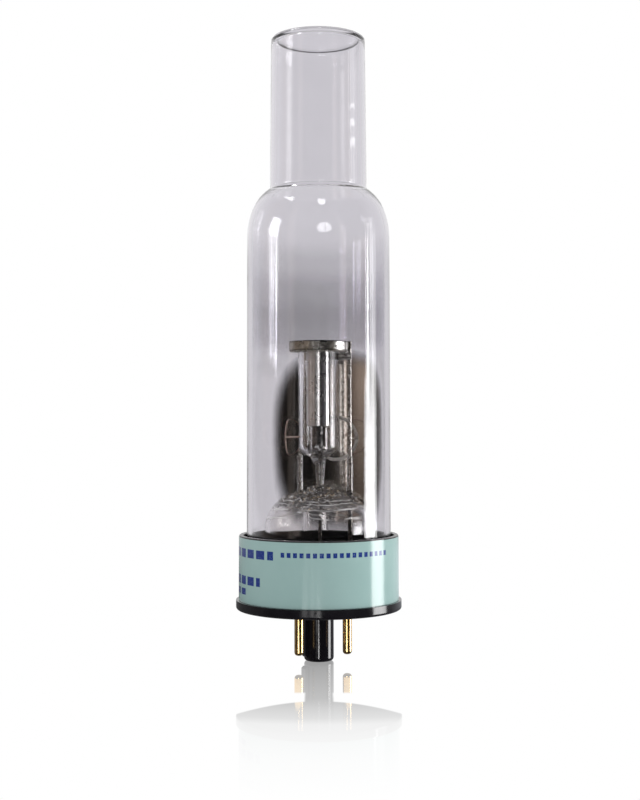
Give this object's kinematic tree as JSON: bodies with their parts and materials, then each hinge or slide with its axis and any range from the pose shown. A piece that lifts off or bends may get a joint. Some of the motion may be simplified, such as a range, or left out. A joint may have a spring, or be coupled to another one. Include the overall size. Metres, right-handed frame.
{
  "type": "hollow cathode lamp",
  "caption": "Sealed glass lamp with a narrow window tube, hollow metal cathode and ring anode, on a keyed octal-style pin base with a plain label band.",
  "frame": {"origin": "centre of the base's seating face, where the guide spigot starts", "axes": "+Z along the lamp's axis from the base to the window; -Y is the front of the label"},
  "size_m": [0.0424, 0.0424, 0.1614],
  "materials": {
    "lamp_glass": "clear polished",
    "seal_glass": "clear, fire polished",
    "cathode_metal": "fine turned",
    "stud_metal": "dark oxidised",
    "lead_metal": "dark drawn",
    "mica": "satin, cleaved",
    "anode_metal": "satin, heat tinted",
    "rod_nickel": "drawn, bright",
    "getter_steel": "satin",
    "base_moulding": "glossy moulded",
    "pin_gold": "gold plated, polished",
    "label_film": "satin film",
    "cement": "matt",
    "wire_copper": "tinned, satin"
  },
  "bodies": {
    "root": {"bulb_envelope": "lamp_glass", "window_tube": "lamp_glass", "end_window": "lamp_glass", "stem_foot": "seal_glass", "exhaust_tube": "seal_glass", "stud_liner": "seal_glass", "cathode_shield": "seal_glass", "right_bead_sleeve": "seal_glass", "left_bead_sleeve": "seal_glass", "cathode_cup": "cathode_metal", "cathode_stud": "stud_metal", "cathode_lead_rod": "lead_metal", "mica_disc": "mica", "anode_ring": "anode_metal", "anode_support_rod": "rod_nickel", "anode_seal_rod": "lead_metal", "left_support_rod": "rod_nickel", "shield_clip": "rod_nickel", "right_getter_ring": "getter_steel", "right_getter_strut": "getter_steel", "left_getter_ring": "getter_steel", "left_getter_strut": "getter_steel", "base_shell": "base_moulding", "pin_1": "pin_gold", "pin_3": "pin_gold", "label_band": "label_film", "basing_cement": "cement", "anode_lead_wire": "wire_copper", "cathode_lead_wire": "wire_copper"}
  },
  "joints": []
}
